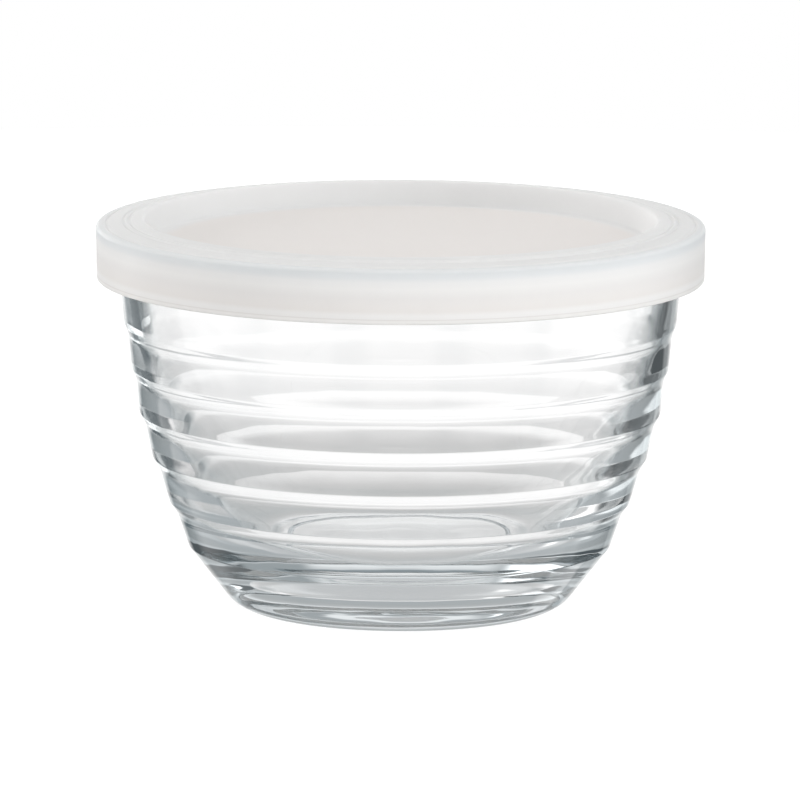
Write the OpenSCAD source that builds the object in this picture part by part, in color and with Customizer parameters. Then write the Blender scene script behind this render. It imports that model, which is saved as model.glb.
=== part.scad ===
// Lidded storage bowl: a pressed-glass bowl with six stepped bands round its outside,
// and a frosted plastic lid that presses on over the rim.
// Millimetres, +Z up, origin at the centre of the ring that the bowl stands on.

/* [Bowl] */
// Height of the glass, from the table to the flat top of the rim
bowl_h = 67.4; // [65:0.2:72]
// Outer radius of the flat ring that the bowl stands on
foot_r = 26; // [22:0.5:28]
// Width of that flat ring
foot_ring_w = 4; // [2:0.5:6]
// Rounding between the standing ring and the flank
foot_round = 6; // [4:0.5:7]
// Depth of the hollow under the foot
foot_hollow = 1; // [0.4:0.1:2]
// Outer radius of the neck, where the top band meets the rim
neck_r = 50.3; // [49:0.1:51.5]
// Thickness of the wall there
wall = 3.3; // [2.6:0.1:3.8]
// Thickness of the floor in the middle
floor_t = 7; // [5:0.5:9]
// Radius of the flat middle of the floor inside
floor_r = 20; // [12:1:22]

/* [Bands] */
// Height of the middle of the lowest ledge
first_ledge_z = 10.1; // [8.6:0.1:11.4]
// Rise from one ledge to the next
band_pitch = 8; // [7:0.1:8.6]
// Height of a ledge's sloping face
ledge_h = 2; // [1.2:0.1:2.8]
// How far the lowest ledge stands out
ledge_low = 1.6; // [0.8:0.1:2]
// How far the highest ledge stands out
ledge_high = 0.8; // [0.4:0.1:1.4]
// Rounding of a ledge's edge
ledge_round = 0.8; // [0.4:0.1:1.4]
// Rounding of the cove under a ledge
cove_round = 5; // [2:0.5:8]

/* [Rim] */
// How far the flange round the rim stands out from the neck
flange_w = 1.7; // [1:0.1:3.4]
// Height of the flange
rim_h = 3.6; // [3:0.1:5]
// Rounding of the flange and of the mouth's inner edge
rim_round = 1; // [0.6:0.1:1.2]

/* [Lid] */
// Thickness of the skirt
skirt_wall = 1.4; // [1:0.1:2]
// How far the skirt hangs below the top of the rim
skirt_drop = 8.4; // [7.5:0.1:10]
// How much the skirt draws in from its top to its lower edge
skirt_draft = 0.15; // [0:0.05:0.4]
// Thickness of the lid over the rim, at the outer edge
ring_edge_t = 1.1; // [0.8:0.1:1.6]
// How much higher the ring's inner crest is than its outer edge
ring_rise = 1.2; // [0.6:0.1:2]
// Rounding of the lid's outer edge
edge_round = 0.9; // [0.5:0.1:1]
// Thickness of the recessed panel and of the wall round it
panel_t = 1.2; // [0.9:0.1:1.8]
// Depth of the recess below the crest
recess_depth = 4.3; // [3:0.1:6]
// How much narrower the recess is at its floor than at the crest
recess_taper = 1.3; // [0.6:0.1:2.5]
// Width of the flat seat that rests on the rim
seat_w = 3; // [2:0.1:3.4]
// Depth of the rings pressed into the lid's top
groove_d = 0.3; // [0.1:0.05:0.5]
// Width of each of those rings
groove_w = 0.8; // [0.4:0.1:1]

/* [Fit] */
// Clearance between the rim and the skirt
skirt_gap = 0.7; // [0.5:0.1:1]
// Clearance between the rim and the bead inside the skirt
bead_gap = 0.1; // [0.05:0.05:0.3]
// Clearance between the mouth and the plug that reaches into it
plug_gap = 0.5; // [0.3:0.1:1]
// Height of the bead inside the skirt
bead_h = 1.2; // [0.8:0.1:1.6]
// Drop from the flange's underside to the top of the bead
bead_drop = 0.2; // [0.1:0.1:0.6]

/* [Hidden] */
$fn = 96;
arc_steps = 4;
cavity_steps = 16;

// Places of the ledges, from the foot's radius to the neck's
ledge_shares = [0.444, 0.59, 0.716, 0.815, 0.877, 0.934];
// The most of a side that the rounding at each of its ends takes up
corner_share = 0.48;
// Places of the rings pressed into the lid's top, from its outer edge to the crest
groove_shares = [0.73, 0.6, 0.22];

mouth_r = neck_r - wall;
rim_r = neck_r + flange_w;
flange_z = bowl_h - rim_h;
last_ledge = len(ledge_shares) - 1;

skirt_in_r = rim_r + skirt_gap;
lid_r = skirt_in_r + skirt_wall;
bead_r = rim_r + bead_gap;
bead_z = flange_z - bead_drop - bead_h / 2;
lip_h = 1.2;
lip_t = 0.3;
skirt_z = bowl_h - skirt_drop;

plug_r = mouth_r - plug_gap;
ring_edge_z = bowl_h + ring_edge_t;
crest_z = ring_edge_z + ring_rise;
crest_r = plug_r - panel_t / 2;
crest_round = 0.6;
recess_r = plug_r - panel_t - recess_taper;
recess_z = crest_z - recess_depth;
recess_round = 0.8;
relief_h = 0.9;
inner_round = 0.4;

// How far the lid's top ring slopes and the recess's wall leans, in degrees
ring_slope = atan(ring_rise / (lid_r - crest_r));
wall_lean = atan(recess_taper / recess_depth);

// An arc in the profile's plane, from one angle to another
function arc(centre, radius, from, to) =
    [for (i = [0 : arc_steps])
        let (a = from + (to - from) * i / arc_steps)
        centre + radius * [cos(a), sin(a)]];

// A direction as a vector of length 1
function unit(v) = v / norm(v);

// The place of a path's point, which is [radius, height, rounding]
function place(point) = [point.x, point.y];

// How much of the side from point i to point j the rounding at i may take up
function room(path, i, j) =
    norm(place(path[j]) - place(path[i])) * (path[j].z > 0 ? corner_share : 1);

// The rounding at point i of a path, an arc that runs smoothly into both sides
function corner(path, i) =
    let (at = place(path[i]),
         back = unit(place(path[i - 1]) - at),
         ahead = unit(place(path[i + 1]) - at),
         half = acos(back * ahead) / 2,
         reach = min(path[i].z / tan(half), room(path, i, i - 1), room(path, i, i + 1)),
         centre = at + unit(back + ahead) * reach / cos(half))
    [for (k = [0 : arc_steps])
        let (chord = at + (back + (ahead - back) * k / arc_steps) * reach)
        centre + unit(chord - centre) * reach * tan(half)];

// A path with its corners rounded
function rounded(path) =
    [for (i = [0 : len(path) - 1])
        each path[i].z > 0 ? corner(path, i) : [place(path[i])]];

// Depth, middle radius and height of ledge number i
function ledge_depth(i) = ledge_low + (ledge_high - ledge_low) * i / last_ledge;
function ledge_r(i) = foot_r + (neck_r - foot_r) * ledge_shares[i];
function ledge_z(i) = first_ledge_z + band_pitch * i;

// The cove under that ledge's sloping face, and the edge over it
function ledge(i) =
    let (out = ledge_depth(i) / 2, up = ledge_h / 2)
    [[ledge_r(i) - out, ledge_z(i) - up, cove_round],
     [ledge_r(i) + out, ledge_z(i) + up, ledge_round]];

// How far the foot's rounding turns to run on into the flank under the first ledge
function foot_turn() =
    let (to_flank = place(ledge(0)[0]) - [foot_r, foot_round])
    atan(to_flank.y / to_flank.x) + asin(foot_round / norm(to_flank));

// The smooth inside, a quarter of an ellipse from the mouth down to the flat of the floor
function cavity() =
    let (top = bowl_h - rim_round)
    [for (i = [1 : cavity_steps])
        let (a = 90 * i / cavity_steps)
        [floor_r + (mouth_r - floor_r) * cos(a), top - (top - floor_t) * sin(a), 0]];

// Half of the bowl's section, from the hollow under the foot round to the floor
function bowl_path() = concat(
    [[0, foot_hollow, 0],
     [foot_r - foot_ring_w - foot_hollow, foot_hollow, 0],
     [foot_r - foot_ring_w, 0, 0],
     [foot_r + foot_round * tan(foot_turn() / 2), 0, foot_round]],
    [for (i = [0 : last_ledge]) each ledge(i)],
    [[neck_r, flange_z, rim_round],
     [rim_r, flange_z, rim_round],
     [rim_r, bowl_h, rim_round],
     [mouth_r, bowl_h, rim_round]],
    cavity(),
    [[0, floor_t, 0]]);

// Height of the lid's sloping top ring at a radius
function ring_z(r) = ring_edge_z + ring_rise * (lid_r - r) / (lid_r - crest_r);

// A shallow round groove in that ring, from its inner side to its outer side
function groove(r) =
    [for (i = [0 : arc_steps])
        let (a = 180 * i / arc_steps, x = r - groove_w / 2 * cos(a))
        [x, ring_z(x) - groove_d * sin(a)]];

// The bead inside the skirt, from its lower end up to its upper end
function bead() =
    [for (i = [0 : arc_steps])
        let (a = 180 * i / arc_steps)
        [skirt_in_r - (skirt_in_r - bead_r) * sin(a), bead_z - bead_h / 2 * cos(a)]];

// The top of the lid, from the middle of the panel out to the skirt's outer edge
function lid_top() = concat(
    [[0, recess_z]],
    arc([recess_r - recess_round, recess_z + recess_round], recess_round, -90, -wall_lean),
    arc([crest_r, crest_z - crest_round], crest_round, 180 - wall_lean, 90 - ring_slope),
    [for (share = groove_shares) each groove(lid_r - (lid_r - crest_r) * share)],
    arc([lid_r - edge_round, ring_edge_z - edge_round], edge_round, 90 - ring_slope, 0));

// The underside of the lid, from the skirt's lower edge in to the middle of the panel
function lid_underside() = concat(
    arc([lid_r - skirt_draft - inner_round, skirt_z + inner_round], inner_round, 0, -90),
    [[skirt_in_r - lip_t, skirt_z],
     [skirt_in_r - lip_t, skirt_z + lip_h - lip_t],
     [skirt_in_r, skirt_z + lip_h]],
    bead(),
    arc([skirt_in_r - inner_round, bowl_h - inner_round], inner_round, 0, 90),
    [[skirt_in_r - seat_w, bowl_h],
     [plug_r, bowl_h + relief_h],
     [plug_r, bowl_h]],
    arc([recess_r + panel_t - inner_round, recess_z - panel_t + inner_round],
        inner_round, 0, -90),
    [[0, recess_z - panel_t]]);

module glass_bowl() {
    color("lightcyan", 0.45)
    rotate_extrude()
    polygon(rounded(bowl_path()));
}

module snap_lid() {
    color("whitesmoke")
    rotate_extrude()
    polygon(concat(lid_top(), lid_underside()));
}

glass_bowl();
snap_lid();
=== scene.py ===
"""A small glass bowl with a press-on lid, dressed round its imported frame.

The bowl is pressed glass with six ledges round its outside. The lid is frosted
plastic: a sunk panel, a sloping ring with fine pressed rings, and a skirt that
hangs over the rim. Lengths are metres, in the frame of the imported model, and
angles are degrees unless a name says otherwise.
"""

import logging
import math
from collections.abc import Mapping
from dataclasses import dataclass, field
from enum import Enum
from typing import Union

import bmesh
import bpy
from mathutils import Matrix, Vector

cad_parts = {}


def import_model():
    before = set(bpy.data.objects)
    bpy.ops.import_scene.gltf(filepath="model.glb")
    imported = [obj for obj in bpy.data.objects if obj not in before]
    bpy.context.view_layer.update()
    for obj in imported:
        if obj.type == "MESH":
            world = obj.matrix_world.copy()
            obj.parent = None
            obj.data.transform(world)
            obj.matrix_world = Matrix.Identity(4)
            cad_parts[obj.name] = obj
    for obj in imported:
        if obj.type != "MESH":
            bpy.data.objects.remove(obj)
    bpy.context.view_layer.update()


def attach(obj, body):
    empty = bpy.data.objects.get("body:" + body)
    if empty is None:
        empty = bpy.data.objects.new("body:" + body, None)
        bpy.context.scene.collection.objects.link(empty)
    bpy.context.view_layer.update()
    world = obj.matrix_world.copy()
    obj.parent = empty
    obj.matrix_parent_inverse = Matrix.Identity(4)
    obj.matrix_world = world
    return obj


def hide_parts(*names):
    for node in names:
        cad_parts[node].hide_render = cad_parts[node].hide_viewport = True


LOG = logging.getLogger("bowl")

HALF_TURN = 180.0
MERGE_DISTANCE = 1e-6

Colour = tuple[float, float, float]
Point = tuple[float, float]
Span = tuple[float, float]
Number = Union["Channel", float]

WHITE: Colour = (1.0, 1.0, 1.0)


class Body(Enum):
    """The bodies of the frame that the pieces ride on."""

    BOWL = "bowl"
    LID = "lid"


class Slot(Enum):
    """The material slots of the record."""

    GLASS = "clear_glass"
    PLASTIC = "frosted_plastic"


class Ray(Enum):
    """The kinds of light path that the studio answers to."""

    CAMERA = "Is Camera Ray"
    SHADOW = "Is Shadow Ray"
    DIFFUSE = "Is Diffuse Ray"
    GLOSSY = "Is Glossy Ray"
    THROUGH = "Is Transmission Ray"


class Channel:
    """A number that runs through a node tree, with the usual arithmetic."""

    def __init__(self, graph: "Graph", socket: bpy.types.NodeSocket) -> None:
        """Keep the socket and the graph that it belongs to.

        Args:
            graph: The graph that new Math nodes are added to.
            socket: The output socket that carries the number.
        """
        self.graph = graph
        self.socket = socket

    def _math(self, operation: str, *numbers: Number) -> "Channel":
        """Add a Math node.

        Args:
            operation: Blender's name of the operation.
            numbers: The numbers that it works on.

        Returns:
            The result as a new channel.
        """
        node = self.graph.node("ShaderNodeMath", {"operation": operation}, dict(enumerate(numbers)))
        return Channel(self.graph, node.outputs[0])

    def __add__(self, other: Number) -> "Channel":
        """Add a number."""
        return self._math("ADD", self, other)

    def __radd__(self, other: Number) -> "Channel":
        """Add to a number."""
        return self._math("ADD", other, self)

    def __sub__(self, other: Number) -> "Channel":
        """Take a number away."""
        return self._math("SUBTRACT", self, other)

    def __mul__(self, other: Number) -> "Channel":
        """Multiply by a number."""
        return self._math("MULTIPLY", self, other)

    def __rmul__(self, other: Number) -> "Channel":
        """Multiply a number."""
        return self._math("MULTIPLY", other, self)

    def __truediv__(self, other: Number) -> "Channel":
        """Divide by a number."""
        return self._math("DIVIDE", self, other)

    def __pow__(self, other: Number) -> "Channel":
        """Raise to a power."""
        return self._math("POWER", self, other)

    def most(self, other: Number) -> "Channel":
        """Take the greater of two numbers."""
        return self._math("MAXIMUM", self, other)

    def cosine(self) -> "Channel":
        """Take the cosine of an angle in radians."""
        return self._math("COSINE", self)

    def rise(self) -> "Channel":
        """Turn the height of a direction into its angle over the horizon, in degrees."""
        return self._math("ARCSINE", self) * math.degrees(1.0)

    def bearing(self, ahead: "Channel") -> "Channel":
        """Give the angle, in degrees, from the way ahead towards this one."""
        return self._math("ARCTAN2", self, ahead) * math.degrees(1.0)

    def apart(self, angle: float) -> "Channel":
        """Give how far, in degrees, an angle lies from another, either way round."""
        return self._math("ABSOLUTE", self._math("WRAP", self - angle, HALF_TURN, -HALF_TURN))

    def ramped(self, start: float, end: float) -> "Channel":
        """Go smoothly from 0 at one value to 1 at another.

        Args:
            start: The value that becomes 0.
            end: The value that becomes 1.

        Returns:
            The eased share between them.
        """
        node = self.graph.node(
            "ShaderNodeMapRange",
            {"interpolation_type": "SMOOTHSTEP"},
            {"Value": self, "From Min": start, "From Max": end},
        )
        return Channel(self.graph, node.outputs[0])


Input = Union[Channel, bpy.types.NodeSocket, float, tuple[float, ...]]
Stops = tuple[tuple[float, Colour], ...]


class Graph:
    """The nodes of one material or of the world."""

    def __init__(self, tree: bpy.types.NodeTree) -> None:
        """Start an empty graph.

        Args:
            tree: The node tree to fill. What it holds is cleared.
        """
        self.tree = tree
        self.tree.nodes.clear()

    def node(
        self,
        kind: str,
        settings: Mapping[str, object] | None = None,
        inputs: Mapping[str | int, Input] | None = None,
    ) -> bpy.types.Node:
        """Add a node, set it up, and then fill its sockets.

        Args:
            kind: Blender's name of the node's type.
            settings: The node's own settings. "stops" gives the stops of a
                colour ramp as pairs of place and colour.
            inputs: Values or links by the name or number of the socket.

        Returns:
            The new node.
        """
        made = self.tree.nodes.new(kind)
        for name, value in (settings or {}).items():
            if name == "stops":
                self._set_stops(made, value)
            else:
                setattr(made, name, value)
        for name, value in (inputs or {}).items():
            self._feed(made.inputs[name], value)
        return made

    def channel(
        self,
        kind: str,
        output: str | int,
        settings: Mapping[str, object] | None = None,
        inputs: Mapping[str | int, Input] | None = None,
    ) -> Channel:
        """Add a node and take one of its outputs as a number.

        Args:
            kind: Blender's name of the node's type.
            output: The name or number of the output.
            settings: As for node.
            inputs: As for node.

        Returns:
            The output as a channel.
        """
        return Channel(self, self.node(kind, settings, inputs).outputs[output])

    def ray(self, kind: Ray) -> Channel:
        """Tell whether the path is of a kind, as 0 or 1."""
        return self.channel("ShaderNodeLightPath", kind.value)

    def axes(self, place: bpy.types.NodeSocket) -> tuple[Channel, ...]:
        """Split coordinates or a direction into X, Y and Z."""
        node = self.node("ShaderNodeSeparateXYZ", None, {0: place})
        return tuple(Channel(self, axis) for axis in node.outputs)

    def mixed(self, factor: Number, first: Input, second: Input) -> bpy.types.NodeSocket:
        """Mix two colours.

        Args:
            factor: The share of the second colour.
            first: The colour at 0.
            second: The colour at 1.

        Returns:
            The mixed colour's socket.
        """
        node = self.node(
            "ShaderNodeMix",
            {"data_type": "RGBA"},
            {"Factor": factor, 6: first, 7: second},
        )
        return node.outputs[2]

    def either(
        self, factor: Number, first: bpy.types.NodeSocket, second: bpy.types.NodeSocket
    ) -> bpy.types.NodeSocket:
        """Mix two shaders.

        Args:
            factor: The share of the second shader.
            first: The shader at 0.
            second: The shader at 1.

        Returns:
            The mixed shader's socket.
        """
        return self.node("ShaderNodeMixShader", None, {0: factor, 1: first, 2: second}).outputs[0]

    def see_through(self, tint: Colour) -> bpy.types.NodeSocket:
        """Let light go straight on, tinted.

        Args:
            tint: The share of each colour that goes on.

        Returns:
            The shader's socket.
        """
        return self.node("ShaderNodeBsdfTransparent", None, {"Color": tint}).outputs[0]

    def noise(self, place: bpy.types.NodeSocket, scale: float, detail: float) -> Channel:
        """Make a soft noise.

        Args:
            place: The coordinates that it is read at.
            scale: The number of its waves in a metre.
            detail: How many finer noises are laid over it.

        Returns:
            The noise, from 0 to 1.
        """
        inputs = {"Vector": place, "Scale": scale, "Detail": detail}
        return self.channel("ShaderNodeTexNoise", "Fac", None, inputs)

    def bumped(self, height: Channel, depth: float) -> bpy.types.NodeSocket:
        """Turn a height into a normal.

        Args:
            height: The height, from 0 to 1.
            depth: The distance that 1 stands for.

        Returns:
            The normal's socket.
        """
        inputs = {"Height": height, "Distance": depth, "Strength": 1.0}
        return self.node("ShaderNodeBump", None, inputs).outputs["Normal"]

    def ramp(self, factor: Channel, stops: Stops) -> bpy.types.NodeSocket:
        """Look a colour up in a row of stops.

        Args:
            factor: The place in the row, from 0 to 1.
            stops: The place and the colour of each stop.

        Returns:
            The colour's socket.
        """
        node = self.node("ShaderNodeValToRGB", {"stops": stops}, {"Fac": factor})
        return node.outputs["Color"]

    def finish(self, kind: str, surface: bpy.types.NodeSocket) -> None:
        """Lead a shader to the output.

        Args:
            kind: Blender's name of the output node's type.
            surface: The shader's socket.
        """
        self.node(kind, None, {"Surface": surface})

    def _feed(self, socket: bpy.types.NodeSocket, value: Input) -> None:
        """Link a socket or set its value.

        Args:
            socket: The input socket.
            value: What feeds it.
        """
        if isinstance(value, Channel):
            self.tree.links.new(value.socket, socket)
        elif isinstance(value, bpy.types.NodeSocket):
            self.tree.links.new(value, socket)
        elif isinstance(value, tuple) and socket.type == "RGBA":
            socket.default_value = (*value[:3], 1.0)
        else:
            socket.default_value = value

    @staticmethod
    def _set_stops(node: bpy.types.Node, stops: Stops) -> None:
        """Set the stops of a colour ramp.

        Args:
            node: The Color Ramp node.
            stops: The place and the colour of each stop.
        """
        ramp = node.color_ramp
        while len(ramp.elements) > 1:
            ramp.elements.remove(ramp.elements[-1])
        for number, (place, colour) in enumerate(stops):
            element = ramp.elements[0] if number == 0 else ramp.elements.new(place)
            element.position = place
            element.color = (*colour, 1.0)


@dataclass(frozen=True)
class Finish:
    """A surface finish that makes its own material.

    Attributes:
        name: The material's name.
    """

    name: str

    def material(self) -> bpy.types.Material:
        """Make the material.

        Returns:
            The material, ready for a piece's slot.
        """
        made = bpy.data.materials.new(self.name)
        made.use_nodes = True
        graph = Graph(made.node_tree)
        graph.finish("ShaderNodeOutputMaterial", self.surface(graph))
        return made

    def surface(self, graph: Graph) -> bpy.types.NodeSocket:
        """Draw the finish into an empty graph.

        Args:
            graph: The material's graph.

        Returns:
            The shader's socket.
        """
        raise NotImplementedError


@dataclass(frozen=True)
class ClearGlass(Finish):
    """Clear pressed glass, with a cool tint along its edges that is darkened there as painted
    shade.

    Attributes:
        refraction: The index of refraction.
        body: The tint where the glass is looked at squarely.
        edge: The tint where it is looked at from the side: the glass's cool tint, darkened as
            painted shade.
        edge_shade_turn: The grazing shares between which the one turns into the other.
        light_through: How much of the lamps' light goes straight on.
        shadow_tint: The colour that this light takes on.
        trapped_turn: The glossy bounces between which trapped light is let out.
        trapped: The grey that trapped light takes on, painted shade in place of the rest of its
            path.
        wave_scale: The number of pressing waves in a metre.
        wave_detail: The fineness of those waves.
        wave_height: Their height.
    """

    name: str = "clear_pressed_glass"
    refraction: float = 1.52
    body: Colour = (0.99, 0.99, 0.99)
    # The edge tint is the glass's cool tint, darkened as painted shade.
    edge: Colour = (0.66, 0.72, 0.73)
    edge_shade_turn: Span = (0.5, 0.95)
    light_through: float = 0.88
    shadow_tint: Colour = (0.96, 0.98, 0.98)
    trapped_turn: Span = (2.0, 3.0)
    # Painted shade: a grey that dims light let out after a few glossy bounces.
    trapped: Colour = (0.73, 0.765, 0.78)
    wave_scale: float = 70.0
    wave_detail: float = 1.5
    wave_height: float = 0.00014

    def surface(self, graph: Graph) -> bpy.types.NodeSocket:
        """Draw the glass into an empty graph.

        Args:
            graph: The material's graph.

        Returns:
            The shader's socket.
        """
        place = graph.node("ShaderNodeTexCoord").outputs["Object"]
        waves = graph.noise(place, self.wave_scale, self.wave_detail)
        # Painted shade: the base colour turns to the darker edge tint where the surface is seen at
        # a grazing angle.
        grazing = graph.channel("ShaderNodeLayerWeight", "Facing", None, {"Blend": 0.5})
        glass = graph.node(
            "ShaderNodeBsdfPrincipled",
            None,
            {
                "Base Color": graph.mixed(grazing.ramped(*self.edge_shade_turn), self.body, self.edge),
                "Roughness": 0.0,
                "IOR": self.refraction,
                "Transmission Weight": 1.0,
                "Normal": graph.bumped(waves, self.wave_height),
            },
        )
        straight = graph.ray(Ray.SHADOW).most(graph.ray(Ray.DIFFUSE)) * self.light_through
        surface = graph.either(straight, glass.outputs[0], graph.see_through(self.shadow_tint))
        # Painted shade: after two or three glossy bounces the glass turns see-through, dimmed by
        # the trapped grey.
        bounces = graph.channel("ShaderNodeLightPath", "Glossy Depth")
        free = bounces.ramped(*self.trapped_turn)
        return graph.either(free, surface, graph.see_through(self.trapped))


@dataclass(frozen=True)
class FrostedPlastic(Finish):
    """Soft translucent plastic with a fine satin skin, with light and shade painted onto its panel
    and its skirt.

    Attributes:
        colour: The colour of the sloping ring and the underside.
        panel: The colour of the sunk panel, a warmer, slightly darker tone than the ring's, painted
            in for its light and shade.
        painted_panel_turn: The radii between which the panel turns into the ring.
        roughness: How dull the skin is.
        refraction: The index of refraction.
        clearness: The share of light that goes through like glass.
        softness: The share of light that spreads inside.
        reach: How far it spreads.
        skirt_shading_turn: The radii between which the ring turns into the skirt.
        painted_skirt_shading: Heights on the skirt and the colour at each, as painted highlights
            and painted shade lines.
        grain_scale: The number of grains in a metre.
        grain_detail: The fineness of the grain.
        grain_height: Its height.
        cloud_scale: The number of duller and brighter clouds in a metre.
        cloud_detail: The fineness of the clouds.
        cloud_depth: How much they change the roughness.
        light_through: How much of the lamps' light goes straight on.
        shadow_tint: The colour that this light takes on.
    """

    name: str = "frosted_lid_plastic"
    colour: Colour = (0.83, 0.83, 0.83)
    # Painted light and shade: the panel's warmer, slightly darker tone.
    panel: Colour = (0.84, 0.805, 0.785)
    painted_panel_turn: Span = (0.0410, 0.0440)
    roughness: float = 0.42
    refraction: float = 1.5
    clearness: float = 0.22
    softness: float = 0.8
    reach: float = 0.0022
    skirt_shading_turn: Span = (0.0524, 0.0533)
    # Painted light and shade down the skirt: a darker lower edge, highlight lines on the lip with a
    # thin shadow line between them, and a bluish shade line just over the rim's top where the glass
    # rim shows through.
    painted_skirt_shading: Stops = (
        (0.0590, (0.80, 0.77, 0.75)),
        (0.0593, (0.92, 0.90, 0.88)),
        (0.0597, (0.93, 0.91, 0.89)),
        (0.05985, (0.80, 0.77, 0.75)),
        (0.0600, (0.93, 0.91, 0.90)),
        (0.0606, (0.93, 0.91, 0.90)),
        (0.0613, (0.87, 0.84, 0.82)),
        (0.0636, (0.87, 0.85, 0.84)),
        (0.0652, (0.92, 0.91, 0.90)),
        (0.0664, (0.88, 0.88, 0.88)),
        (0.0672, (0.78, 0.80, 0.815)),
        (0.0680, (0.72, 0.745, 0.76)),
        (0.0685, (0.78, 0.80, 0.81)),
    )
    grain_scale: float = 5200.0
    grain_detail: float = 2.0
    grain_height: float = 0.000012
    cloud_scale: float = 70.0
    cloud_detail: float = 3.0
    cloud_depth: float = 0.06
    light_through: float = 0.55
    shadow_tint: Colour = (0.9, 0.9, 0.89)

    def surface(self, graph: Graph) -> bpy.types.NodeSocket:
        """Draw the plastic into an empty graph.

        Args:
            graph: The material's graph.

        Returns:
            The shader's socket.
        """
        place = graph.node("ShaderNodeTexCoord").outputs["Object"]
        grain = graph.noise(place, self.grain_scale, self.grain_detail)
        clouds = graph.noise(place, self.cloud_scale, self.cloud_detail)
        east, north, height = graph.axes(place)
        radius = (east * east + north * north) ** 0.5
        low, high = self.painted_skirt_shading[0][0], self.painted_skirt_shading[-1][0]
        # Painted light and shade: the skirt's colour is looked up by height among these highlight
        # and shade lines.
        painted_skirt_shading = graph.ramp(
            (height - low) / (high - low),
            tuple(((level - low) / (high - low), colour) for level, colour in self.painted_skirt_shading),
        )
        # Painted light and shade: the sunk panel takes its warmer, slightly darker tone, easing
        # into the ring's colour.
        top = graph.mixed(radius.ramped(*self.painted_panel_turn), self.panel, self.colour)
        plastic = graph.node(
            "ShaderNodeBsdfPrincipled",
            None,
            {
                # On the skirt, the painted light and shade take over from the top's colour.
                "Base Color": graph.mixed(radius.ramped(*self.skirt_shading_turn), top, painted_skirt_shading),
                "Roughness": self.roughness + self.cloud_depth * (clouds - 0.5),
                "IOR": self.refraction,
                "Transmission Weight": self.clearness,
                "Subsurface Weight": self.softness,
                "Subsurface Radius": WHITE,
                "Subsurface Scale": self.reach,
                "Normal": graph.bumped(grain, self.grain_height),
            },
        )
        straight = graph.ray(Ray.SHADOW) * self.light_through
        return graph.either(straight, plastic.outputs[0], graph.see_through(self.shadow_tint))


@dataclass(frozen=True)
class PaleFloor(Finish):
    """A white studio floor that keeps a soft shadow and lets glass look through it.

    Attributes:
        colour: The floor's own colour.
        held: The grey that the camera's floor takes light with.
        glow: The light that it gives besides, which lifts it to white.
    """

    name: str = "pale_studio_floor"
    colour: Colour = (0.8, 0.8, 0.8)
    held: Colour = (0.42, 0.42, 0.42)
    glow: float = 0.72

    def surface(self, graph: Graph) -> bpy.types.NodeSocket:
        """Draw the floor into an empty graph.

        Args:
            graph: The material's graph.

        Returns:
            The shader's socket.
        """
        plain, held = (
            graph.node("ShaderNodeBsdfDiffuse", None, {"Color": colour}).outputs[0]
            for colour in (self.colour, self.held)
        )
        glow = graph.node("ShaderNodeEmission", None, {"Color": WHITE, "Strength": self.glow})
        bright = graph.node("ShaderNodeAddShader", None, {0: held, 1: glow.outputs[0]})
        surface = graph.either(graph.ray(Ray.CAMERA), plain, bright.outputs[0])
        through = graph.ray(Ray.GLOSSY).most(graph.ray(Ray.THROUGH))
        return graph.either(through, surface, graph.see_through(WHITE))


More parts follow.
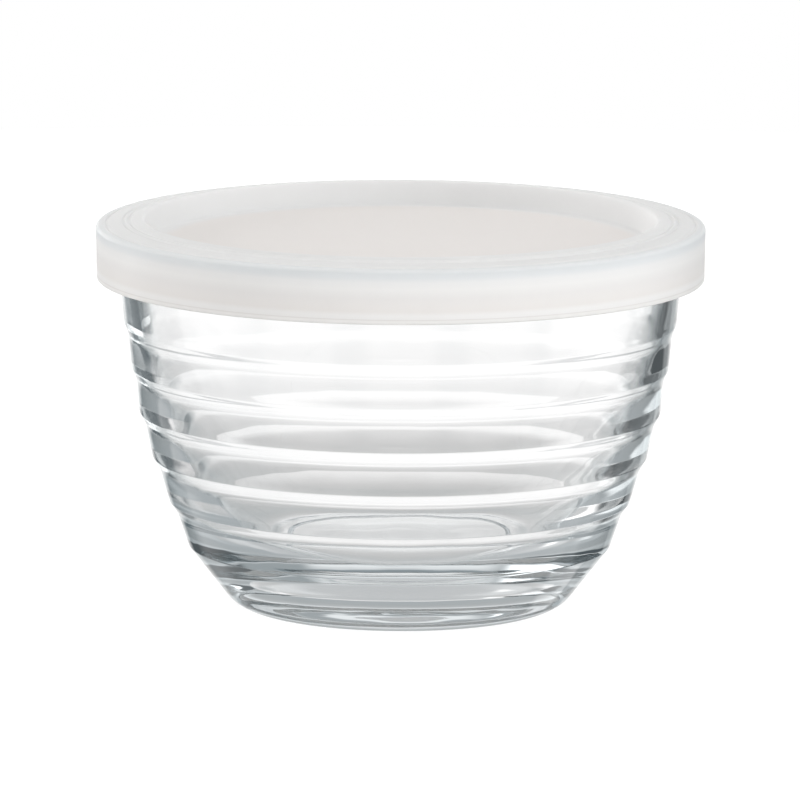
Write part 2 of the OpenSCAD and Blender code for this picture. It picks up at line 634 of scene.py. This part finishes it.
class Outline:
    """Half of a turned section, drawn as a wire of corners that bevels round.

    Attributes:
        LONGEST_EDGE: The longest edge that a straight run keeps.
        CORNER_SHARE: The most of a side that the rounding at its end takes up.
        ARC_STEP: The angle, in degrees, that one edge of a rounding turns by.
        LEAST_STEPS: The fewest edges of a rounding.
        BLEND_PASSES: How often a blend is eased.
        BLEND_SHARE: How far each pass moves a vertex towards its neighbours.
    """

    LONGEST_EDGE = 0.0009
    CORNER_SHARE = 0.49
    ARC_STEP = 7.0
    LEAST_STEPS = 3
    BLEND_PASSES = 16
    BLEND_SHARE = 0.5

    def __init__(self) -> None:
        """Start an empty outline."""
        self.mesh = bmesh.new()
        self.last: bmesh.types.BMVert | None = None
        self.corners: list[tuple[bmesh.types.BMVert, float]] = []
        self.blends: list[tuple[Vector, float]] = []

    def point(self, radius: float, height: float, rounding: float = 0.0) -> None:
        """Add a corner and join it to the last one.

        Args:
            radius: The distance from the axis.
            height: The height over the table.
            rounding: The radius that the corner is rounded with.
        """
        vertex = self.mesh.verts.new((radius, 0.0, height))
        if self.last is not None:
            self.mesh.edges.new((self.last, vertex))
        if rounding > 0:
            self.corners.append((vertex, rounding))
        self.last = vertex

    def sweep(self, centre: Point, depth: float, steps: int) -> None:
        """Turn the last point a quarter round a centre and stretch it downwards.

        Args:
            centre: The radius and height of the quarter's centre.
            depth: How far below the centre the quarter ends.
            steps: The number of edges.
        """
        before = set(self.mesh.verts)
        reach = self.last.co.x - centre[0]
        bmesh.ops.spin(
            self.mesh,
            geom=[self.last],
            cent=(centre[0], 0.0, centre[1]),
            axis=(0.0, 1.0, 0.0),
            dvec=(0.0, 0.0, 0.0),
            angle=math.radians(90.0),
            steps=steps,
            use_merge=False,
            use_normal_flip=False,
            use_duplicate=False,
        )
        swept = [vertex for vertex in self.mesh.verts if vertex not in before]
        bmesh.ops.translate(self.mesh, verts=swept, vec=(0.0, 0.0, -centre[1]))
        bmesh.ops.scale(self.mesh, verts=swept, vec=(1.0, 1.0, depth / reach))
        bmesh.ops.translate(self.mesh, verts=swept, vec=(0.0, 0.0, centre[1]))
        self.last = min(swept, key=lambda vertex: vertex.co.z)

    def blend(self, reach: float) -> None:
        """Let the bend at the last point set in slowly.

        Args:
            reach: How far from the point the outline is eased.
        """
        self.blends.append((self.last.co.copy(), reach))

    def turned(self, name: str, steps: int) -> bpy.types.Object:
        """Round the corners, turn the outline once round Z, and close it.

        Args:
            name: The piece's name.
            steps: The number of faces round the axis.

        Returns:
            The finished object, linked to the scene.
        """
        for vertex, rounding in self.corners:
            self._round(vertex, rounding)
        for edge in list(self.mesh.edges):
            cuts = int(edge.calc_length() / self.LONGEST_EDGE)
            if cuts:
                bmesh.ops.subdivide_edges(self.mesh, edges=[edge], cuts=cuts)
        for centre, reach in self.blends:
            near = [vertex for vertex in self.mesh.verts if (vertex.co - centre).length < reach]
            for _ in range(self.BLEND_PASSES):
                bmesh.ops.smooth_vert(
                    self.mesh, verts=near, factor=self.BLEND_SHARE, use_axis_z=True
                )
        bmesh.ops.spin(
            self.mesh,
            geom=[*self.mesh.verts, *self.mesh.edges],
            cent=(0.0, 0.0, 0.0),
            axis=(0.0, 0.0, 1.0),
            dvec=(0.0, 0.0, 0.0),
            angle=math.tau,
            steps=steps,
            use_merge=True,
            use_normal_flip=False,
            use_duplicate=False,
        )
        bmesh.ops.remove_doubles(self.mesh, verts=self.mesh.verts, dist=MERGE_DISTANCE)
        bmesh.ops.recalc_face_normals(self.mesh, faces=self.mesh.faces)
        for face in self.mesh.faces:
            face.smooth = True
        data = bpy.data.meshes.new(name)
        self.mesh.to_mesh(data)
        self.mesh.free()
        made = bpy.data.objects.new(name, data)
        bpy.context.scene.collection.objects.link(made)
        return made

    def _round(self, vertex: bmesh.types.BMVert, rounding: float) -> None:
        """Round one corner, as far as its neighbours leave room.

        Args:
            vertex: The corner.
            rounding: The wanted radius.
        """
        one, two = (edge.other_vert(vertex).co - vertex.co for edge in vertex.link_edges)
        turn = math.pi - one.angle(two)
        room = self.CORNER_SHARE * min(one.length, two.length)
        bmesh.ops.bevel(
            self.mesh,
            geom=[vertex],
            affect="VERTICES",
            offset=min(rounding * math.tan(turn / 2), room),
            offset_type="OFFSET",
            segments=max(self.LEAST_STEPS, round(math.degrees(turn) / self.ARC_STEP)),
            profile=0.5,
            material=-1,
            clamp_overlap=False,
            loop_slide=False,
        )


@dataclass
class GlassBowl:
    """The pressed-glass bowl: foot, six ledges, flanged rim and smooth inside.

    Attributes:
        height: The height of the rim's top over the table.
        foot_radius: The outer radius of the ring that the bowl stands on.
        foot_ring: The width of that ring.
        foot_rounding: The rounding between the ring and the flank.
        foot_hollow: The depth of the hollow under the foot.
        neck_radius: The radius where the top band meets the rim.
        wall: The thickness of the glass there.
        floor_thickness: The thickness of the floor.
        floor_radius: The radius of the floor's flat.
        floor_blend: How far round its edge the bend is eased.
        first_ledge: The height of the middle of the lowest ledge.
        band_pitch: The rise from one ledge to the next.
        ledge_height: The height of a ledge's sloping face.
        ledge_low: How far the lowest ledge stands out.
        ledge_high: How far the highest ledge stands out.
        ledge_rounding: The rounding of a ledge's edge.
        cove_rounding: The rounding of the cove under a ledge.
        ledge_shares: The ledges' places, from the foot's radius to the neck's.
        flange: How far the flange stands out from the neck.
        flange_height: The flange's height.
        rim_rounding: The rounding of the flange and of the mouth.
        softness: The rounding of the small edges.
        cavity_steps: The number of edges down the inside.
        steps: The number of faces round the axis.
        finish: The glass.
    """

    height: float = 0.0674
    foot_radius: float = 0.026
    foot_ring: float = 0.004
    foot_rounding: float = 0.006
    foot_hollow: float = 0.001
    neck_radius: float = 0.0503
    wall: float = 0.0033
    floor_thickness: float = 0.007
    floor_radius: float = 0.020
    floor_blend: float = 0.005
    first_ledge: float = 0.0101
    band_pitch: float = 0.008
    ledge_height: float = 0.002
    ledge_low: float = 0.0016
    ledge_high: float = 0.0008
    ledge_rounding: float = 0.0008
    cove_rounding: float = 0.005
    ledge_shares: tuple[float, ...] = (0.444, 0.59, 0.716, 0.815, 0.877, 0.934)
    flange: float = 0.0017
    flange_height: float = 0.0036
    rim_rounding: float = 0.001
    softness: float = 0.0004
    cavity_steps: int = 64
    steps: int = 192
    finish: ClearGlass = field(default_factory=ClearGlass)

    @property
    def rim_radius(self) -> float:
        """Give the flange's outer radius."""
        return self.neck_radius + self.flange

    @property
    def mouth_radius(self) -> float:
        """Give the inner radius at the mouth."""
        return self.neck_radius - self.wall

    def build(self) -> bpy.types.Object:
        """Build the bowl and put it in the frame.

        Returns:
            The bowl, riding on its body.
        """
        line = Outline()
        ring_inside = self.foot_radius - self.foot_ring
        line.point(0.0, self.foot_hollow)
        line.point(ring_inside - self.foot_hollow, self.foot_hollow, self.softness * 2)
        line.point(ring_inside, 0.0, self.softness)
        reach = self.foot_rounding * math.tan(self._foot_turn() / 2)
        line.point(self.foot_radius + reach, 0.0, self.foot_rounding)
        for number in range(len(self.ledge_shares)):
            under, over = self._ledge(number)
            line.point(*under, self.cove_rounding)
            line.point(*over, self.ledge_rounding)
        flange_under = self.height - self.flange_height
        line.point(self.neck_radius, flange_under, self.rim_rounding)
        line.point(self.rim_radius, flange_under, self.rim_rounding)
        line.point(self.rim_radius, self.height, self.rim_rounding)
        line.point(self.mouth_radius, self.height, self.rim_rounding)
        top = self.height - self.rim_rounding
        line.point(self.mouth_radius, top)
        line.sweep((self.floor_radius, top), top - self.floor_thickness, self.cavity_steps)
        line.blend(self.floor_blend)
        line.point(0.0, self.floor_thickness)
        piece = line.turned("pressed_glass_bowl", self.steps)
        piece.data.materials.append(self.finish.material())
        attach(piece, Body.BOWL.value)
        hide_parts("glass_bowl")
        return piece

    def _ledge(self, number: int) -> tuple[Point, Point]:
        """Give the two corners of a ledge.

        Args:
            number: The ledge's number, from 0 at the foot.

        Returns:
            The radius and height of the cove under the ledge's sloping face,
            and those of the edge over it.
        """
        share = number / (len(self.ledge_shares) - 1)
        out = (self.ledge_low + (self.ledge_high - self.ledge_low) * share) / 2
        spread = self.neck_radius - self.foot_radius
        middle = self.foot_radius + spread * self.ledge_shares[number]
        height = self.first_ledge + self.band_pitch * number
        half = self.ledge_height / 2
        return (middle - out, height - half), (middle + out, height + half)

    def _foot_turn(self) -> float:
        """Work out how far the foot's rounding turns to run on into the flank.

        Returns:
            The angle, in radians.
        """
        radius, height = self._ledge(0)[0]
        across, up = radius - self.foot_radius, height - self.foot_rounding
        return math.atan2(up, across) + math.asin(self.foot_rounding / math.hypot(across, up))


@dataclass
class SnapLid:
    """The press-on lid: sunk panel, sloping ring, skirt, bead and plug wall.

    Attributes:
        bowl: The bowl that it fits.
        skirt_wall: The thickness of the skirt.
        skirt_drop: How far the skirt hangs below the rim's top.
        skirt_draft: How much the skirt draws in towards its lower edge.
        ring_edge: The thickness over the rim, at the outer edge.
        ring_rise: How much higher the crest is than that edge.
        edge_rounding: The rounding of the outer edge.
        panel: The thickness of the sunk panel and of the plug wall.
        recess_depth: The depth of the panel below the crest.
        recess_taper: How much narrower the recess is at the panel.
        recess_rounding: The rounding where the panel meets the recess's wall.
        crest_rounding: The rounding of the crest.
        shoulder_share: How far inside the crest its corner lies, in roundings.
        seat: The width of the seat on the rim.
        relief: How much the underside rises from the seat to the plug wall.
        groove_depth: The depth of the rings pressed into the top.
        groove_width: Their width.
        groove_shares: Their places, from the outer edge to the crest.
        skirt_gap: The clearance between the rim and the skirt.
        bead_gap: The clearance between the rim and the bead.
        plug_gap: The clearance between the mouth and the plug wall.
        bead_height: The bead's height.
        bead_drop: The drop from the flange's underside to the bead.
        lip_height: The height of the lip inside the skirt's lower edge.
        lip: How far that lip stands out.
        softness: The rounding of the small edges.
        steps: The number of faces round the axis.
        finish: The plastic.
    """

    bowl: GlassBowl
    skirt_wall: float = 0.0014
    skirt_drop: float = 0.0084
    skirt_draft: float = 0.00015
    ring_edge: float = 0.0011
    ring_rise: float = 0.0012
    edge_rounding: float = 0.0009
    panel: float = 0.0012
    recess_depth: float = 0.0043
    recess_taper: float = 0.0013
    recess_rounding: float = 0.0008
    crest_rounding: float = 0.0006
    shoulder_share: float = 0.6
    seat: float = 0.003
    relief: float = 0.0009
    groove_depth: float = 0.0003
    groove_width: float = 0.0008
    groove_shares: tuple[float, ...] = (0.73, 0.6, 0.22)
    skirt_gap: float = 0.0007
    bead_gap: float = 0.0001
    plug_gap: float = 0.0005
    bead_height: float = 0.0012
    bead_drop: float = 0.0002
    lip_height: float = 0.0012
    lip: float = 0.0003
    softness: float = 0.0003
    steps: int = 192
    finish: FrostedPlastic = field(default_factory=FrostedPlastic)

    def build(self) -> bpy.types.Object:
        """Build the lid and put it in the frame.

        Returns:
            The lid, riding on its body.
        """
        line = Outline()
        self._top(line)
        self._underside(line)
        piece = line.turned("frosted_press_lid", self.steps)
        piece.data.materials.append(self.finish.material())
        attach(piece, Body.LID.value)
        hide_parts("snap_lid")
        return piece

    @property
    def inside(self) -> float:
        """Give the skirt's inner radius."""
        return self.bowl.rim_radius + self.skirt_gap

    @property
    def outside(self) -> float:
        """Give the lid's outer radius."""
        return self.inside + self.skirt_wall

    @property
    def plug(self) -> float:
        """Give the outer radius of the wall that reaches into the mouth."""
        return self.bowl.mouth_radius - self.plug_gap

    @property
    def crest(self) -> float:
        """Give the radius of the ring's highest line."""
        return self.plug - self.panel / 2

    @property
    def recess(self) -> float:
        """Give the radius of the sunk panel."""
        return self.plug - self.panel - self.recess_taper

    @property
    def recess_height(self) -> float:
        """Give the height of the sunk panel's upper face."""
        return self.bowl.height + self.ring_edge + self.ring_rise - self.recess_depth

    def _ring_height(self, radius: float) -> float:
        """Give the sloping ring's height at a radius."""
        share = (self.outside - radius) / (self.outside - self.crest)
        return self.bowl.height + self.ring_edge + self.ring_rise * share

    def _top(self, line: Outline) -> None:
        """Draw the top, from the middle of the panel out to the edge.

        Args:
            line: The outline to add to.
        """
        shoulder = self.crest - self.crest_rounding * self.shoulder_share
        line.point(0.0, self.recess_height)
        line.point(self.recess, self.recess_height, self.recess_rounding)
        line.point(shoulder, self._ring_height(shoulder), self.crest_rounding)
        for share in self.groove_shares:
            middle = self.outside - (self.outside - self.crest) * share
            inner, outer = middle - self.groove_width / 2, middle + self.groove_width / 2
            line.point(inner, self._ring_height(inner), self.softness)
            line.point(middle, self._ring_height(middle) - self.groove_depth, self.softness)
            line.point(outer, self._ring_height(outer), self.softness)
        line.point(self.outside, self._ring_height(self.outside), self.edge_rounding)

    def _underside(self, line: Outline) -> None:
        """Draw the underside, from the skirt's lower edge in to the middle.

        Args:
            line: The outline to add to.
        """
        bottom = self.bowl.height - self.skirt_drop
        flange_under = self.bowl.height - self.bowl.flange_height
        bead = flange_under - self.bead_drop - self.bead_height / 2
        small = self.softness / 2
        line.point(self.outside - self.skirt_draft, bottom, self.softness)
        line.point(self.inside - self.lip, bottom, small)
        line.point(self.inside - self.lip, bottom + self.lip_height - self.lip, small)
        line.point(self.inside, bottom + self.lip_height, small)
        line.point(self.inside, bead - self.bead_height / 2, small)
        line.point(self.bowl.rim_radius + self.bead_gap, bead, self.softness)
        line.point(self.inside, bead + self.bead_height / 2, small)
        line.point(self.inside, self.bowl.height, self.softness)
        line.point(self.inside - self.seat, self.bowl.height, small)
        line.point(self.plug, self.bowl.height + self.relief, small)
        line.point(self.plug, self.bowl.height, self.softness)
        line.point(self.recess + self.panel, self.recess_height - self.panel, self.softness)
        line.point(0.0, self.recess_height - self.panel)


@dataclass(frozen=True)
class Lamp:
    """One soft lamp that points at the middle of the object.

    Attributes:
        name: The lamp's name.
        place: Where it hangs.
        size: Its diameter.
        power: Its power, in watts.
        colour: The colour of its light.
    """

    name: str
    place: tuple[float, float, float]
    size: float
    power: float
    colour: Colour = WHITE

    def build(self, target: Vector) -> None:
        """Hang the lamp.

        Args:
            target: The point that it shines at.
        """
        data = bpy.data.lights.new(self.name, "AREA")
        data.shape = "DISK"
        data.size = self.size
        data.energy = self.power
        data.color = self.colour
        made = bpy.data.objects.new(self.name, data)
        made.location = self.place
        made.rotation_euler = (target - Vector(self.place)).to_track_quat("-Z", "Y").to_euler()
        made.visible_glossy = False
        made.visible_transmission = False
        bpy.context.scene.collection.objects.link(made)


@dataclass(frozen=True)
class Card:
    """A soft-edged panel of the studio that shows in glass and gloss.

    Attributes:
        bearing: The angle of its middle round the object.
        rise: The angle of its middle over the horizon.
        half_width: The angle from its middle to a side.
        half_height: The angle from its middle to its top.
        colour: What it shows.
        softness: The angle over which its edge fades out.
    """

    bearing: float
    rise: float
    half_width: float
    half_height: float
    colour: Colour
    softness: float = 8.0

    def hang(
        self, graph: Graph, bearing: Channel, rise: Channel, behind: bpy.types.NodeSocket
    ) -> bpy.types.NodeSocket:
        """Lay the card over what is behind it.

        Args:
            graph: The world's graph.
            bearing: The direction's angle round the object, in degrees.
            rise: The direction's angle over the horizon, in degrees.
            behind: The colour behind the card.

        Returns:
            The colour with the card in front.
        """
        width, height = self.half_width, self.half_height
        across = bearing.apart(self.bearing).ramped(width + self.softness, width)
        upright = rise.apart(self.rise).ramped(height + self.softness, height)
        return graph.mixed(across * upright, behind, self.colour)


@dataclass
class Studio:
    """The pale floor, the lamps, the surrounding light and the camera.

    Attributes:
        camera_aim: The height that the camera looks at.
        camera_lens: The focal length, in millimetres, as is camera_sensor.
        camera_clip: The nearest and the farthest distance that it shows.
        lamp_target: The height that the lamps shine at.
        ambient_low: The surrounding light from low down, as dull surfaces take it.
        ambient_high: The same from high up.
        ambient_turn: The rises between which the one turns into the other.
        zones: What glass and gloss show of the studio: rises and their colours.
        gap_count: The number of dim gaps round the object.
        gap_edge: The cosines between which a gap sets in.
        gap_rise: The rise of the gaps' middle.
        gap_reach: How far up and down they go.
        gap_fade: How far they fade out beyond that.
        gap_share: How much of a gap covers what is behind it.
        gap_turn: The rises between which gap_colour_low turns into gap_colour.
        cards: The panels that hang in front, from back to front.
    """

    camera_distance: float = 2.0
    camera_elevation: float = 9.53
    camera_aim: float = 0.03687
    camera_roll: float = 0.26
    camera_lens: float = 505.9
    camera_sensor: float = 36.0
    camera_clip: Span = (0.05, 50.0)
    floor_radius: float = 0.6
    floor_steps: int = 96
    lamp_target: float = 0.035
    ambient_low: Colour = (0.83, 0.815, 0.80)
    ambient_high: Colour = (0.52, 0.51, 0.50)
    ambient_turn: Span = (10.0, 55.0)
    zones: Stops = (
        (-90.0, (0.50, 0.52, 0.53)),
        (-56.0, (0.54, 0.56, 0.57)),
        (-42.0, (0.53, 0.55, 0.56)),
        (-32.0, (0.54, 0.55, 0.55)),
        (-26.0, (0.63, 0.63, 0.63)),
        (-20.0, (0.83, 0.83, 0.83)),
        (-15.0, (0.99, 0.99, 0.99)),
        (-10.0, (1.07, 1.07, 1.07)),
        (-6.0, (1.12, 1.12, 1.12)),
        (6.0, (1.12, 1.12, 1.12)),
        (11.0, (0.66, 0.67, 0.68)),
        (16.0, (0.46, 0.48, 0.49)),
        (38.0, (0.47, 0.49, 0.50)),
        (48.0, (0.72, 0.73, 0.74)),
        (60.0, WHITE),
    )
    gap_count: int = 8
    gap_edge: Span = (0.0, -0.95)
    gap_rise: float = -16.0
    gap_reach: float = 24.0
    gap_fade: float = 15.0
    gap_share: float = 0.85
    gap_colour: Colour = (0.44, 0.47, 0.48)
    gap_colour_low: Colour = (0.76, 0.78, 0.79)
    gap_turn: Span = (-32.0, -20.0)
    cards: tuple[Card, ...] = (
        Card(-72.0, 2.0, 14.0, 12.0, (1.05, 1.05, 1.05)),
        Card(-88.0, -42.0, 24.0, 16.0, (0.36, 0.40, 0.42), 12.0),
        Card(-32.0, -13.0, 11.0, 7.0, (0.1, 0.12, 0.13), 5.0),
        Card(42.0, -9.0, 14.0, 18.0, (0.11, 0.12, 0.125), 5.0),
        Card(92.0, -24.0, 18.0, 22.0, (1.1, 1.1, 1.1)),
        Card(-29.0, 4.5, 9.0, 5.0, (2.0, 2.0, 2.0), 4.0),
        Card(34.0, -38.0, 6.0, 5.0, (1.5, 1.5, 1.5), 5.0),
        Card(23.0, 6.0, 6.0, 4.0, (0.42, 0.45, 0.46), 4.0),
    )
    lamps: tuple[Lamp, ...] = (
        Lamp("key_right", (0.65, -1.08, 0.46), 0.5, 6.9, (0.975, 0.988, 1.0)),
        Lamp("side_left", (-1.1, 0.5, 0.35), 0.5, 7.0),
        Lamp("side_right", (1.1, 0.3, 0.4), 0.6, 0.8, (0.8, 0.92, 1.0)),
        Lamp("top_back", (0.1, 0.5, 1.1), 0.8, 4.0),
    )

    def build(self) -> None:
        """Build the whole studio."""
        self._floor()
        self._surroundings()
        for lamp in self.lamps:
            lamp.build(Vector((0.0, 0.0, self.lamp_target)))
        self._camera()
        bpy.context.scene.view_settings.view_transform = "Standard"

    def _floor(self) -> None:
        """Lay the floor."""
        mesh = bmesh.new()
        bmesh.ops.create_circle(
            mesh, cap_ends=True, radius=self.floor_radius, segments=self.floor_steps
        )
        data = bpy.data.meshes.new("studio_floor")
        mesh.to_mesh(data)
        mesh.free()
        floor = bpy.data.objects.new("studio_floor", data)
        floor.data.materials.append(PaleFloor().material())
        bpy.context.scene.collection.objects.link(floor)

    def _surroundings(self) -> None:
        """Set the light that surrounds the object, and what glass shows of it."""
        world = bpy.data.worlds.new("soft_studio")
        world.use_nodes = True
        bpy.context.scene.world = world
        graph = Graph(world.node_tree)
        east, north, up = graph.axes(graph.node("ShaderNodeTexCoord").outputs["Generated"])
        bearing, rise = east.bearing(north), up.rise()
        zones = graph.ramp(
            rise / HALF_TURN + 0.5,
            tuple((angle / HALF_TURN + 0.5, colour) for angle, colour in self.zones),
        )
        gaps = (bearing * math.radians(self.gap_count)).cosine().ramped(*self.gap_edge)
        reach = self.gap_reach
        level = rise.apart(self.gap_rise).ramped(reach + self.gap_fade, reach)
        dim = graph.mixed(rise.ramped(*self.gap_turn), self.gap_colour_low, self.gap_colour)
        colour = graph.mixed(gaps * level * self.gap_share, zones, dim)
        for card in self.cards:
            colour = card.hang(graph, bearing, rise, colour)
        seen = graph.ray(Ray.GLOSSY).most(graph.ray(Ray.THROUGH))
        turn = rise.ramped(*self.ambient_turn)
        ambient = graph.mixed(turn, self.ambient_low, self.ambient_high)
        colour = graph.mixed(seen, ambient, colour)
        colour = graph.mixed(graph.ray(Ray.CAMERA), colour, WHITE)
        light = graph.node("ShaderNodeBackground", None, {"Color": colour, "Strength": 1.0})
        graph.finish("ShaderNodeOutputWorld", light.outputs[0])

    def _camera(self) -> None:
        """Set the camera at the photograph's angle."""
        tilt = math.radians(self.camera_elevation)
        back = Vector((0.0, -math.cos(tilt), math.sin(tilt)))
        data = bpy.data.cameras.new("camera")
        data.sensor_width = self.camera_sensor
        data.lens = self.camera_lens
        data.clip_start, data.clip_end = self.camera_clip
        made = bpy.data.objects.new("camera", data)
        made.location = Vector((0.0, 0.0, self.camera_aim)) + back * self.camera_distance
        turn = (-back).to_track_quat("-Z", "Y").to_euler()
        turn.rotate_axis("Z", math.radians(self.camera_roll))
        made.rotation_euler = turn
        bpy.context.scene.collection.objects.link(made)
        bpy.context.scene.camera = made


def main() -> None:
    """Load the frame, build the bowl, the lid and the studio, and note the sizes."""
    logging.basicConfig(level=logging.INFO, format="%(name)s: %(message)s")
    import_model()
    bowl = GlassBowl()
    for part in (bowl, SnapLid(bowl)):
        piece = part.build()
        LOG.info("%s: %d faces", piece.name, len(piece.data.polygons))
    studio = Studio()
    studio.build()
    LOG.info("studio: %d lamps", len(studio.lamps))


if __name__ == "__main__":
    main()
